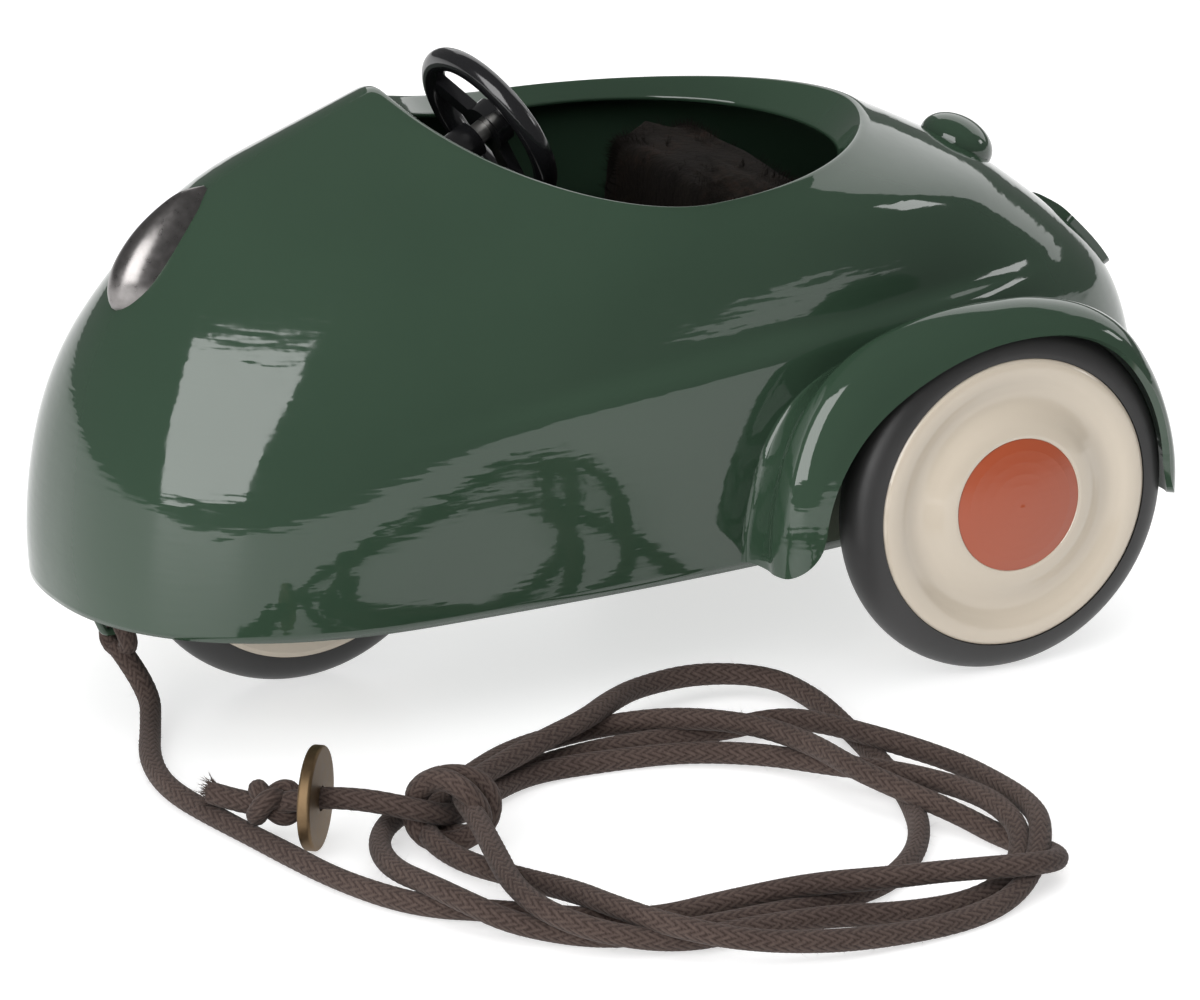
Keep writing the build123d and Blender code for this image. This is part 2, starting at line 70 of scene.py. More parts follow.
def aim(azimuth, elevation):
    a = math.radians(azimuth)
    e = math.radians(elevation)
    return Vector((math.cos(a) * math.cos(e), math.sin(a) * math.cos(e), math.sin(e)))


def make_camera():
    data = bpy.data.cameras.new("camera")
    data.lens = LENS
    data.sensor_width = SENSOR
    data.clip_end = 20
    camera = bpy.data.objects.new("camera", data)
    bpy.context.scene.collection.objects.link(camera)
    away = aim(CAMERA_AZIMUTH, CAMERA_ELEVATION)
    camera.location = row(LOOK_AT) + away * CAMERA_DISTANCE * MM
    camera.rotation_euler = (-away).to_track_quat("-Z", "Y").to_euler()
    bpy.context.scene.camera = camera


# ------------------------------------------------------------ mesh helpers
def link(name, mesh, material, body):
    """A new piece on a CAD body, with its material."""
    piece = bpy.data.objects.new(name, mesh)
    bpy.context.scene.collection.objects.link(piece)
    mesh.materials.append(material)
    mesh.polygons.foreach_set("use_smooth", [True] * len(mesh.polygons))
    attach(piece, body)
    return piece


def mesh_of(name, points, faces):
    """A mesh from working-frame points, in mm."""
    points = np.asarray(points, float).reshape(-1, 3)
    placed = (points - (CAR_MIDDLE, 0, 0)) * MM
    mesh = bpy.data.meshes.new(name)
    mesh.from_pydata(placed.tolist(), [], faces)
    mesh.update()
    return mesh


def grid_faces(rows, columns, close_rows=False, close_columns=False):
    """Quads over a grid of points held row by row."""
    faces = []
    for i in range(rows if close_rows else rows - 1):
        for j in range(columns if close_columns else columns - 1):
            i2, j2 = (i + 1) % rows, (j + 1) % columns
            faces.append((i * columns + j, i * columns + j2, i2 * columns + j2, i2 * columns + j))
    return faces


def flip(faces):
    return [tuple(reversed(f)) for f in faces]


def face_outward(mesh, weld=None):
    """Turns every face outward, and first joins points closer than weld metres."""
    bm = bmesh.new()
    bm.from_mesh(mesh)
    if weld is not None:
        bmesh.ops.remove_doubles(bm, verts=bm.verts, dist=weld)
    bmesh.ops.recalc_face_normals(bm, faces=bm.faces)
    bm.to_mesh(mesh)
    bm.free()


def smooth_line(points, per_step=6):
    """A Catmull-Rom line through the points."""
    p = np.asarray(points, float)
    p = np.vstack([2 * p[0] - p[1], p, 2 * p[-1] - p[-2]])
    out = []
    for a, b, c, d in zip(p, p[1:], p[2:], p[3:]):
        for k in range(per_step):
            t = k / per_step
            out.append(
                0.5
                * (
                    2 * b
                    + (c - a) * t
                    + (2 * a - 5 * b + 4 * c - d) * t**2
                    + (3 * b - a - 3 * c + d) * t**3
                )
            )
    out.append(p[-2])
    return np.array(out)


# ------------------------------------------------------------ materials
def new_material(name):
    material = bpy.data.materials.new(name)
    material.use_nodes = True
    nodes, links = material.node_tree.nodes, material.node_tree.links
    shader = nodes["Principled BSDF"]
    return material, nodes, links, shader


def noise_node(nodes, links, scale, detail=3.0, rough=0.5, stretch=None):
    texture = nodes.new("ShaderNodeTexNoise")
    texture.inputs["Scale"].default_value = scale
    texture.inputs["Detail"].default_value = detail
    texture.inputs["Roughness"].default_value = rough
    coordinates = nodes.new("ShaderNodeTexCoord")
    place = coordinates.outputs["Object"]
    if stretch is not None:
        mapping = nodes.new("ShaderNodeMapping")
        mapping.inputs["Scale"].default_value = stretch
        links.new(place, mapping.inputs["Vector"])
        place = mapping.outputs["Vector"]
    links.new(place, texture.inputs["Vector"])
    return texture.outputs["Fac"]


def ramp_node(nodes, links, value, stops):
    ramp = nodes.new("ShaderNodeValToRGB")
    while len(ramp.color_ramp.elements) < len(stops):
        ramp.color_ramp.elements.new(0.5)
    for element, (place, colour) in zip(ramp.color_ramp.elements, stops):
        element.position = place
        element.color = (*colour, 1)
    links.new(value, ramp.inputs["Fac"])
    return ramp.outputs["Color"]


def range_node(nodes, links, value, low, high, from_low=0.0, from_high=1.0):
    scaled = nodes.new("ShaderNodeMapRange")
    scaled.inputs["From Min"].default_value = from_low
    scaled.inputs["From Max"].default_value = from_high
    scaled.inputs["To Min"].default_value = low
    scaled.inputs["To Max"].default_value = high
    links.new(value, scaled.inputs["Value"])
    return scaled.outputs["Result"]


def bump_node(nodes, links, value, distance, strength=1.0, under=None):
    bump = nodes.new("ShaderNodeBump")
    bump.inputs["Distance"].default_value = distance
    bump.inputs["Strength"].default_value = strength
    links.new(value, bump.inputs["Height"])
    if under is not None:
        links.new(under, bump.inputs["Normal"])
    return bump.outputs["Normal"]


def enamel(name, dark, light, rough=0.06, peel=0.00002):
    """Gloss paint: slight cloudiness of colour, orange peel in the gloss."""
    material, nodes, links, shader = new_material(name)
    cloud = noise_node(nodes, links, 18, 4)
    links.new(ramp_node(nodes, links, cloud, [(0.3, dark), (0.7, light)]), shader.inputs["Base Color"])
    wear = noise_node(nodes, links, 260, 5, 0.6)
    links.new(range_node(nodes, links, wear, rough, rough + 0.07, 0.4, 0.8), shader.inputs["Roughness"])
    dapple = noise_node(nodes, links, 330, 2, 0.45)
    ripple = noise_node(nodes, links, 180, 1, 0.4, stretch=(1, 1, 6))
    normal = bump_node(nodes, links, ripple, 1.1 * peel, under=bump_node(nodes, links, dapple, peel))
    links.new(normal, shader.inputs["Normal"])
    shader.inputs["IOR"].default_value = 1.6
    return material


def steel(name, shade, rough):
    material, nodes, links, shader = new_material(name)
    cloud = noise_node(nodes, links, 900, 4)
    links.new(
        ramp_node(nodes, links, cloud, [(0.3, tuple(0.75 * c for c in shade)), (0.7, shade)]),
        shader.inputs["Base Color"],
    )
    links.new(range_node(nodes, links, cloud, rough, rough + 0.2), shader.inputs["Roughness"])
    shader.inputs["Metallic"].default_value = 1.0
    return material


green = enamel("green_enamel", (0.024, 0.047, 0.029), (0.029, 0.055, 0.034), rough=0.04)
black = enamel("black_enamel", (0.007, 0.007, 0.008), (0.011, 0.011, 0.012), rough=0.12)
silver = steel("silver_paint", (0.30, 0.285, 0.28), 0.2)
cream = enamel("cream_enamel", (0.50, 0.44, 0.36), (0.55, 0.48, 0.39), rough=0.12)
red = enamel("red_enamel", (0.31, 0.058, 0.020), (0.35, 0.069, 0.025), rough=0.28)
bare = steel("bare_steel", (0.55, 0.54, 0.52), 0.3)
brass = steel("aged_brass", (0.20, 0.135, 0.075), 0.42)


def satin_rubber():
    material, nodes, links, shader = new_material("tyre_rubber")
    cloud = noise_node(nodes, links, 60, 4)
    links.new(
        ramp_node(nodes, links, cloud, [(0.3, (0.018, 0.018, 0.018)), (0.7, (0.026, 0.025, 0.025))]),
        shader.inputs["Base Color"],
    )
    fine = noise_node(nodes, links, 700, 4, 0.6)
    links.new(range_node(nodes, links, fine, 0.36, 0.52), shader.inputs["Roughness"])
    links.new(bump_node(nodes, links, fine, 0.00002, 0.4), shader.inputs["Normal"])
    return material


def brushed_felt():
    """Short brown pile, matted, in random patches of tone, with painted shade in the hollows of the
    pile's bump and lighter reddish tips.
    """
    material, nodes, links, shader = new_material("seat_felt")
    pile = noise_node(nodes, links, 900, 6, 0.7)
    patch = noise_node(nodes, links, 90, 3)
    both = nodes.new("ShaderNodeMath")
    both.operation = "MULTIPLY"
    links.new(pile, both.inputs[0])
    links.new(patch, both.inputs[1])
    # colour follows the pile noise that also makes the bump: painted shade in its hollows, lighter tips;
    # the patch noise is random tone
    stops = [(0.12, (0.001, 0.001, 0.001)), (0.30, (0.004, 0.003, 0.002)), (0.48, (0.020, 0.010, 0.006))]
    links.new(ramp_node(nodes, links, both.outputs[0], stops), shader.inputs["Base Color"])
    shader.inputs["Roughness"].default_value = 0.95
    shader.inputs["Sheen Weight"].default_value = 0.02
    shader.inputs["Sheen Tint"].default_value = (0.6, 0.4, 0.3, 1)
    shader.inputs["Specular IOR Level"].default_value = 0.2
    links.new(bump_node(nodes, links, pile, 0.0006), shader.inputs["Normal"])
    return material


def braided_cotton():
    """Dark brown yarn, with a painted highlight on the strands' crowns and painted shade between them."""
    material, nodes, links, shader = new_material("braided_cotton")
    # painted light from the braid's relief: lighter on the strands' crowns, painted shade in the grooves
    # between them
    lift = nodes.new("ShaderNodeAttribute")
    lift.attribute_name = "braid_painted_light"
    yarn = noise_node(nodes, links, 1500, 5, 0.7)
    patch = noise_node(nodes, links, 70, 3)
    mixed = nodes.new("ShaderNodeMath")
    mixed.operation = "MULTIPLY_ADD"
    links.new(yarn, mixed.inputs[0])
    mixed.inputs[1].default_value = 0.9
    links.new(lift.outputs["Fac"], mixed.inputs[2])
    # random patches of tone, added to the painted crown highlight and groove shade
    patches_and_painted_light = nodes.new("ShaderNodeMath")
    patches_and_painted_light.operation = "MULTIPLY_ADD"
    links.new(patch, patches_and_painted_light.inputs[0])
    patches_and_painted_light.inputs[1].default_value = 0.5
    links.new(mixed.outputs[0], patches_and_painted_light.inputs[2])
    tone = range_node(nodes, links, patches_and_painted_light.outputs[0], 0.0, 1.0, 0.4, 1.9)
    stops = [(0.0, (0.013, 0.008, 0.007)), (0.55, (0.038, 0.025, 0.021)), (1.0, (0.095, 0.068, 0.058))]
    links.new(ramp_node(nodes, links, tone, stops), shader.inputs["Base Color"])
    shader.inputs["Roughness"].default_value = 0.9
    shader.inputs["Sheen Weight"].default_value = 0.08
    shader.inputs["Specular IOR Level"].default_value = 0.2
    links.new(bump_node(nodes, links, yarn, 0.00012), shader.inputs["Normal"])
    return material


rubber = satin_rubber()
felt = brushed_felt()
cotton = braided_cotton()


# ------------------------------------------------------------ body
WALL = 1.2
# The body's outline at eight levels, from the bottom edge up to the cockpit's edge:
# front x and z, half width, side z, middle x, rear x and z, roundness in front and
# behind. A least-squares fit to the body's outline gave these numbers, which were then
# rounded and in places changed. They aren't worked out from driving dimensions.
RINGS = np.array([
    (121.3, 16.8, 32.7, 16.8, 79.7, -39.3, 16.8, 2.3, 2.3),
    (121.4, 24.5, 34.0, 25.5, 77.0, -40.6, 23.5, 2.3, 2.3),
    (119.8, 36.7, 34.8, 35.5, 71.5, -39.6, 31.5, 2.3, 2.3),
    (115.8, 48.7, 34.8, 44.3, 65.0, -36.5, 40.8, 2.25, 2.25),
    (109.3, 59.2, 34.0, 51.5, 56.2, -29.9, 48.8, 2.15, 2.2),
    (99.9, 69.2, 32.8, 59.0, 47.8, -20.7, 56.5, 2.05, 2.2),
    (89.3, 74.8, 31.5, 64.2, 41.2, -12.5, 62.2, 1.85, 2.1),
    (73.4, 80.9, 30.2, 68.1, 40.3, 2.6, 70.2, 1.75, 1.8),
])
LIP_RING = np.array((70.8, 77.2, 27.2, 65.9, 38.0, 7.4, 66.0, 1.75, 2.0))
TOP = len(RINGS) - 1
FRONT_DROP = 1.15
REAR_DROP = 1.7
RIDGE_SOFTNESS = 0.07
SHOULDER_SWELL = 2.2


def spline_bends(rows):
    """Second derivatives of a natural cubic spline through evenly spaced rows."""
    n = len(rows)
    system = np.eye(n)
    right = np.zeros_like(rows)
    for k in range(1, n - 1):
        system[k, k - 1 : k + 2] = (1, 4, 1)
        right[k] = 6 * (rows[k - 1] - 2 * rows[k] + rows[k + 1])
    return np.linalg.solve(system, right)


BENDS = spline_bends(RINGS)


def rings_at(height):
    """The rings at an array of heights, from 0 at the bottom edge to TOP."""
    height = np.clip(np.asarray(height, float), 0, TOP)
    low = np.minimum(height.astype(int), TOP - 1)
    t = (height - low)[..., None]
    s = 1 - t
    a, b = RINGS[low], RINGS[low + 1]
    bend_a, bend_b = BENDS[low], BENDS[low + 1]
    return s * a + t * b + ((s**3 - s) * bend_a + (t**3 - t) * bend_b) / 6


def on_rings(ring, turn):
    """Points on rings at turns round the body; the arrays broadcast."""
    front_x, front_z, half, side_z, mid_x, rear_x, rear_z, n_front, n_rear = np.moveaxis(ring, -1, 0)
    ahead = np.cos(turn) >= 0
    reach = np.where(ahead, front_x, rear_x) - mid_x
    end_z = np.where(ahead, front_z, rear_z)
    power = np.where(ahead, n_front, n_rear)
    drop = np.where(ahead, FRONT_DROP, REAR_DROP)
    along = np.abs(np.cos(turn)) ** (2 / power)
    across = np.abs(np.sin(turn)) ** (2 / power)
    soft = RIDGE_SOFTNESS**drop
    rise = ((across**2 + RIDGE_SOFTNESS**2) ** (drop / 2) - soft) / (
        (1 + RIDGE_SOFTNESS**2) ** (drop / 2) - soft
    )
    side = half * across * np.sign(np.sin(turn))
    return np.stack(np.broadcast_arrays(mid_x + reach * along, side, end_z + (side_z - end_z) * rise), -1)


def ease(start, end, x):
    t = np.clip((x - start) / (end - start), 0, 1)
    return t * t * (3 - 2 * t)


def shoulder_z(x):
    return 48.9 - 0.00088 * x * x


def outward(height, turn):
    step = 1e-3
    up = on_rings(rings_at(height + step), turn) - on_rings(rings_at(height - step), turn)
    ring = rings_at(height)
    about = on_rings(ring, turn + step) - on_rings(ring, turn - step)
    normal = np.cross(about, up)
    return normal / np.maximum(np.linalg.norm(normal, axis=-1, keepdims=True), 1e-12)


def skin(height, turn, inset=0.0):
    """Points of the body, or of a surface that lies inset inside it."""
    height, turn = np.broadcast_arrays(np.asarray(height, float), np.asarray(turn, float))
    point = on_rings(rings_at(height), turn)
    d = point[..., 2] - shoulder_z(point[..., 0])
    size = SHOULDER_SWELL * ease(98, 32, point[..., 0]) * ease(-24, 4, point[..., 0])
    swell = -0.5 * size * np.tanh(d / 1.3) * np.exp(-np.abs(d) / 14)
    return point + outward(height, turn) * (swell - inset)[..., None]


def crease_heights(turns):
    low, high = np.full(len(turns), 1.0), np.full(len(turns), 5.0)
    for _ in range(30):
        mid = (low + high) / 2
        point = on_rings(rings_at(mid), turns)
        below = point[:, 2] < shoulder_z(point[:, 0])
        low, high = np.where(below, mid, low), np.where(below, high, mid)
    return low


def bezier(a, b, c, t):
    """A quadratic curve from a to c that turns at b, at each t."""
    t = np.asarray(t)[:, None, None]
    return (1 - t) ** 2 * a + 2 * t * (1 - t) * b + t**2 * c


def body_section(turns):
    """The closed outline of the sheet at each turn, (outline, turn, xyz)."""
    crease = crease_heights(turns)
    last = TOP - 0.1
    toward = 1 - (1 - np.linspace(0, 1, 30)) ** 1.5
    beyond = np.linspace(0, 1, 30)[1:] ** 1.5
    heights = [crease * t for t in toward] + [crease + (last - crease) * t for t in beyond]
    heights = np.array(heights)
    outer = skin(heights, turns[None, :])
    inner_heights = np.linspace(0, 1, 40)[:, None] * last
    inner = skin(inner_heights + 0 * turns[None, :], turns[None, :], WALL)
    inner[0, :, 2] = outer[0, :, 2]
    edge = on_rings(np.broadcast_to(RINGS[TOP], (len(turns), 9)), turns)
    lip = on_rings(np.broadcast_to(LIP_RING, (len(turns), 9)), turns)
    fall = lip - edge
    fall /= np.linalg.norm(fall, axis=-1, keepdims=True)
    start_lip = edge + fall * 0.9
    rolled = bezier(outer[-1], edge, start_lip, np.linspace(0, 1, 9)[1:])
    flange = np.array([start_lip + (lip - start_lip) * t for t in (0.3, 0.6, 0.9, 1.0)])
    around = np.stack([-np.sin(turns), np.cos(turns), 0 * turns], -1)
    under = np.cross(fall, around)
    under /= np.linalg.norm(under, axis=-1, keepdims=True)
    under *= np.where(under[:, 2:] > 0, -1, 1)
    lip_in = lip + under * WALL * 0.8
    turned_in = bezier(lip, lip + fall * 0.5 + under * WALL * 0.4, lip_in, (0.3, 0.6, 1.0))
    back = np.array([lip_in + (inner[-1] - lip_in) * t for t in (0.33, 0.66)])
    return np.concatenate([outer, rolled, flange, turned_in, back, inner[::-1]])


def make_body():
    turns = np.arange(256) * 2 * math.pi / 256 + 1e-4
    section = body_section(turns)
    rows, columns = section.shape[:2]
    faces = grid_faces(rows, columns, close_rows=True, close_columns=True)
    mesh = mesh_of("body_skin", section, flip(faces))
    piece = link("body_skin", mesh, green, "car")
    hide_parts("body_shell")
    return piece


# ------------------------------------------------------------ fenders
SHEET = 1.0
FENDER_X = 2.5
FENDER_Z = 20.7
FENDER_TURNS = (-5.0, 180.0)
FENDER_EDGE_Y = 43.5
FENDER_CROWN_Y = 38.5
CORNER_R = 5.5
FENDER_EDGE = [
    (-5, 26.3), (13, 26.6), (36, 26.2), (60, 25.4), (75, 25.5), (89, 26.1), (101, 26.9),
    (119, 28.5), (131, 28.9), (146, 28.4), (162, 27.2), (180, 25.8),
]
FENDER_CROWN = [
    (-5, 31.6), (15, 32.1), (35, 33.2), (50, 33.1), (70, 31.5), (90, 30.5), (105, 31.1),
    (120, 32.0), (131, 32.0), (143, 30.9), (156, 29.8), (180, 28.9),
]
RUN_OUT = [(-0.15, 0.3), (0.1, 0.65), (0.8, 0.92), (2.2, 1.0)]
ARCHED = [(-0.5, 0.2), (-1.9, 0.5), (-3.3, 0.8), (-4.0, 1.0)]
ACROSS_STEPS = 6


def along(table, turn):
    """A smooth value between the pairs of a table."""
    k = max(i for i, pair in enumerate(table[:-1]) if pair[0] <= turn)
    rows = [table[min(max(k + j, 0), len(table) - 1)] for j in (-1, 0, 1, 2)]
    (t0, a), (t1, b), (t2, c), (t3, d) = rows
    t = (turn - t1) / (t2 - t1)
    slope_b = (c - a) / (t2 - t0) * (t2 - t1)
    slope_c = (d - b) / (t3 - t1) * (t2 - t1)
    bend = 3 * (c - b) - 2 * slope_b - slope_c
    twist = 2 * (b - c) + slope_b + slope_c
    return b + slope_b * t + bend * t**2 + twist * t**3


def body_y(x, z, tree):
    """How far out the body's left side stands at a place."""
    start = row((x, 60, max(z, 17.2)))
    hit = tree.ray_cast(start, Vector((0, -1, 0)))[0]
    return hit.y / MM if hit else 20.0


def fender_line(turn, tree):
    """Points over the fender at one turn, from its outer edge to the body."""
    c, s = math.cos(math.radians(turn)), math.sin(math.radians(turn))
    edge, crown = along(FENDER_EDGE, turn), along(FENDER_CROWN, turn)
    arch = float(ease(20, 62, turn))
    inward = [
        (a[0] + arch * (b[0] - a[0]), a[1] + arch * (b[1] - a[1]))
        for a, b in zip(RUN_OUT, ARCHED)
    ]
    root_r = crown + inward[-1][0]
    root_y = body_y(FENDER_X + root_r * c, FENDER_Z + root_r * s, tree) - 0.3
    line = [
        (edge, FENDER_EDGE_Y),
        (edge + 0.45 * (crown - edge), 42.7),
        (edge + 0.86 * (crown - edge), 40.9),
        (crown, FENDER_CROWN_Y),
    ]
    line += [(crown + r, FENDER_CROWN_Y + share * (root_y - FENDER_CROWN_Y)) for r, share in inward]
    return smooth_line([(FENDER_X + r * c, y, FENDER_Z + r * s) for r, y in line], ACROSS_STEPS)


def make_fenders(tree):
    """A pressed sheet over each rear wheel, with rounded tips."""
    columns = 7 * ACROSS_STEPS + 1
    turns = np.linspace(0, 1, 260)
    sample = fender_line(90, tree)
    from_edge = np.concatenate([[0], np.cumsum(np.linalg.norm(np.diff(sample, axis=0), axis=1))])
    inside = np.clip(from_edge, 0, CORNER_R)
    corner = CORNER_R - np.sqrt(CORNER_R**2 - (CORNER_R - inside) ** 2)
    trim = np.degrees(corner / 26)
    known = np.linspace(*FENDER_TURNS, 190)
    lines = np.array([fender_line(t, tree) for t in known])
    top = np.zeros((len(turns), columns, 3))
    for j in range(columns):
        wanted = FENDER_TURNS[0] + trim[j] + turns * (FENDER_TURNS[1] - FENDER_TURNS[0] - 2 * trim[j])
        for axis in range(3):
            top[:, j, axis] = np.interp(wanted, known, lines[:, j, axis])
    du, dv = np.gradient(top, axis=0), np.gradient(top, axis=1)
    normal = np.cross(du, dv)
    normal /= np.linalg.norm(normal, axis=-1, keepdims=True)
    centre = np.array((FENDER_X, 38.0, FENDER_Z))
    facing = np.sign(((top - centre) * normal).sum(-1, keepdims=True))
    low = top - normal * np.median(facing) * SHEET
    n = len(turns)
    points = np.concatenate([top.reshape(-1, 3), low.reshape(-1, 3)])
    faces = grid_faces(n, columns)
    lower = n * columns
    faces += [tuple(lower + i for i in reversed(f)) for f in grid_faces(n, columns)]
    rim = [(i, 0) for i in range(n)] + [(n - 1, j) for j in range(1, columns)]
    rim += [(i, columns - 1) for i in range(n - 2, -1, -1)] + [(0, j) for j in range(columns - 2, 0, -1)]
    loop = [i * columns + j for i, j in rim]
    for a, b in zip(loop, loop[1:] + loop[:1]):
        faces.append((b, a, lower + a, lower + b))
    for name, side in (("fender_left", 1), ("fender_right", -1)):
        mesh = mesh_of(f"{name}_sheet", points * (1, side, 1), faces if side > 0 else flip(faces))
        face_outward(mesh)
        piece = link(f"{name}_sheet", mesh, green, "car")
        mesh.set_sharp_from_angle(angle=math.radians(50))
        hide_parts(name)


# ------------------------------------------------------------ cord
CORD_R = 1.4
BRAID_STRANDS = 12
BRAID_PITCH = 3.0
BRAID_RELIEF = 0.15
EYE_MIDDLE = (112.0, 0, 11.0)
EYE_LOOP_R = 2.75
EYE_CORD_R = 1.25
TIE_MIDDLE = (95.4, 65.6, 5.35)
TIE_ALONG = (0.72, 0.72, 0)
TIE_ACROSS = (2.9, -2.9, 0)
TIE_HEIGHT = 4.1
TIE_WRAPS = ((-1.1, 1.0), (1.3, -0.9))  # place along the tied turns, and lean
KNOT_MIDDLE = (114.5, 52.9, 5.1)
KNOT_SCALE = 0.95
KNOT_CORD_R = 1.3
KNOT_POINTS = 24
TAIL_WAY = (3.8, -7.3, 0.2)
FRAY_COUNT = 240
FRAY_R = 1.25
FRAY_LENGTH = 2.6
LINT_LENGTH = 1.3
# loose fibres take the braid crowns' painted highlight tone
FIBRE_PAINTED_LIGHT = 0.95
FIBRE_CURL = 0.45

# The lead's first nine points and the tail's five repeat the part's source. A solver
# that kept the strands a cord's width apart placed all those between them, so these
# are neither points chosen by hand nor turns worked out by a loop.
CORD_ROUTE = [
    # out of the eye and along the floor
    (112.2, -0.2, 8.8), (110.2, 6.0, 4.2), (113.6, 13.5, 1.9), (118.2, 23.0, 1.5),
    (120.6, 34.0, 1.5), (119.2, 46.0, 1.5), (117.0, 59.0, 1.5), (114.6, 73.5, 1.5),
    (109.4, 85.5, 1.5), (102, 92, 1.9),
    # first turn of the hank: near side, far end, back along the car's side
    (94.5, 97.5, 1.5), (85.5, 102.5, 1.5), (76, 104.5, 2.9), (66.5, 107, 4.3),
    (57.5, 111.5, 5.1), (49, 114, 5.5), (37, 115.5, 4.7), (30.5, 109.5, 2.4),
    (33, 98.5, 1.4), (35.5, 90.5, 2.6), (40, 82.5, 4.2), (42.5, 75, 4.9),
    (43, 66.5, 5), (45.5, 56.5, 4.8), (51.5, 47.5, 4), (59.5, 43, 3.1),
    (69.5, 43.5, 3), (78.5, 47.5, 3.7), (85.5, 52.5, 4.1), (93, 57.5, 3.4),
    # second turn, on the outside
    (99, 64, 2.4), (99, 74.5, 2), (95, 85.5, 2.6), (92.5, 95, 3.8),
    (91.5, 103, 4.6), (88, 111.5, 4.4), (81, 118, 3.4), (71.5, 121, 2.5),
    (60.5, 121.5, 1.7), (50, 120, 1.3), (41.5, 116.5, 1.6), (35, 110.5, 3.3),
    (30.5, 103.5, 5.1), (28.5, 96.5, 4.9), (28, 88.5, 4.4), (28.5, 78, 4.1),
    (33, 65.5, 4), (36.5, 55.5, 3.5), (40, 50, 2.7), (48, 48, 1.5),
    (58, 46.5, 1.3), (68, 47, 1.5), (77.5, 49, 1.3), (87.5, 51.5, 1.5),
    # third turn, which swings wide round the tie and lies on the floor
    (98, 56.5, 2.3), (106, 65.5, 3), (109.5, 76.5, 3.6), (108, 86, 4.2),
    (106.5, 91.5, 3.9), (102.5, 98, 2.3), (95, 104, 1.3), (85.5, 107.5, 1.5),
    (76, 108, 1.7), (65.5, 108, 1.6), (55.5, 106, 1.4), (47.5, 100, 1.4),
    (41.5, 92, 1.4), (37.5, 82.5, 1.4), (35, 73, 1.4), (33, 63, 1.4),
    (31.5, 53, 1.5), (31, 44, 2), (33.5, 36.5, 3.1), (42.5, 33, 3.9),
    (52.5, 35, 4.3), (59.5, 40.5, 5.3), (66, 46, 5.7), (74, 49.5, 5.4),
    (82, 53.5, 4.9), (88, 57, 4.9), (91.5, 61, 5.5),
    # fourth turn, out of the tie over the others and round inside them
    (93.5, 65.5, 6.2), (95, 73, 6), (97.5, 82.5, 5.5), (100, 92, 5.2),
    (100, 100.5, 4.6), (95, 107, 3), (86.5, 111, 1.6), (76.5, 111, 1.7),
    (66.5, 112, 1.8), (56.5, 115, 1.4), (46.5, 115, 1.3), (38.5, 111, 1.9),
    (33, 103, 4), (32, 95, 4.8), (33, 87, 4.5), (36.5, 77.5, 3.9),
    (41.5, 68, 2.5), (47, 59, 2), (55, 53, 1.6), (65, 50.5, 1.3),
    (75.5, 50.5, 1.6), (84, 54.5, 1.8), (90, 60.5, 2.4), (95.5, 65, 4),
    # out of the tie, through the brass disc, to the end knot
    (100.8, 65.6, 6.2), (106.6, 61.7, 7.3), (112.2, 57.1, 6.8), (115.6, 52.4, 4.2),
    (119.4, 45.1, 4.6),
]


def spline_points(name, route, cyclic=False):
    """Points along the NURBS curve whose control points are the route, in mm."""
    data = bpy.data.curves.new(name, "CURVE")
    data.dimensions = "3D"
    data.resolution_u = 24
    spline = data.splines.new("NURBS")
    spline.points.add(len(route) - 1)
    for point, place in zip(spline.points, route):
        point.co = (*place, 1)
    spline.order_u = 3
    spline.use_cyclic_u = cyclic
    spline.use_endpoint_u = not cyclic
    curve = bpy.data.objects.new(name, data)
    mesh = bpy.data.meshes.new_from_object(curve)
    points = np.array([v.co for v in mesh.vertices])
    if cyclic:
        points = np.vstack([points, points[:1]])
    bpy.data.objects.remove(curve)
    bpy.data.curves.remove(data)
    bpy.data.meshes.remove(mesh)
    return points


def evenly(points, step):
    """The same line with points a step apart."""
    gaps = np.linalg.norm(np.diff(points, axis=0), axis=1)
    at = np.concatenate([[0], np.cumsum(gaps)])
    wanted = np.linspace(0, at[-1], max(int(at[-1] / step), 8))
    return np.stack([np.interp(wanted, at, points[:, k]) for k in range(3)], 1), wanted


def set_painted_light(mesh, lift):
    """Stores how far each point stands up in the yarn as painted light: a lighter colour on the crowns,
    painted shade in the grooves.
    """
    shade = mesh.attributes.new("braid_painted_light", "FLOAT", "POINT")
    shade.data.foreach_set("value", np.asarray(lift, np.float32))


def braid(name, points, radius=CORD_R, up=(0, 0, 1), step=0.2, around=56, closed=False):
    """A braided round cord along points: strands that pass two over, two under."""
    line, distance = evenly(points, step)
    tangent = np.gradient(line, axis=0)
    if closed:
        line, distance = line[:-1], distance[:-1]
        tangent = np.roll(line, -1, axis=0) - np.roll(line, 1, axis=0)
    tangent /= np.linalg.norm(tangent, axis=1, keepdims=True)
    side = np.cross(np.asarray(up, float), tangent)
    side /= np.linalg.norm(side, axis=1, keepdims=True)
    over = np.cross(tangent, side)
    turn = np.arange(around) * 2 * math.pi / around
    u = turn[None, :] / (2 * math.pi) * BRAID_STRANDS
    v = distance[:, None] / BRAID_PITCH * 2
    a, b = u + v, u - v
    a_over = (np.floor(a) + np.floor(b)) % 4 < 2
    ridge = np.where(a_over, np.sin(math.pi * (b % 1)), np.sin(math.pi * (a % 1)))
    lift = np.sqrt(np.clip(ridge, 0, 1))
    slack = 0.03 * np.sin(distance * 0.31)[:, None]
    reach = radius + BRAID_RELIEF * (lift - 0.6) + slack
    ring = side[:, None] * np.cos(turn)[None, :, None] + over[:, None] * np.sin(turn)[None, :, None]
    places = line[:, None] + ring * reach[..., None]
    places[..., 2] = np.maximum(places[..., 2], 0.03)
    rows, columns = places.shape[:2]
    faces = grid_faces(rows, columns, close_rows=closed, close_columns=True)
    if not closed:
        faces.append(tuple(range(columns - 1, -1, -1)))
        faces.append(tuple(range((rows - 1) * columns, rows * columns)))
    mesh = mesh_of(name, places, faces)
    # painted light from the strands' height: lighter on the crowns, painted shade between them
    set_painted_light(mesh, lift.ravel())
    piece = link(name, mesh, cotton, "car")
    return piece, line


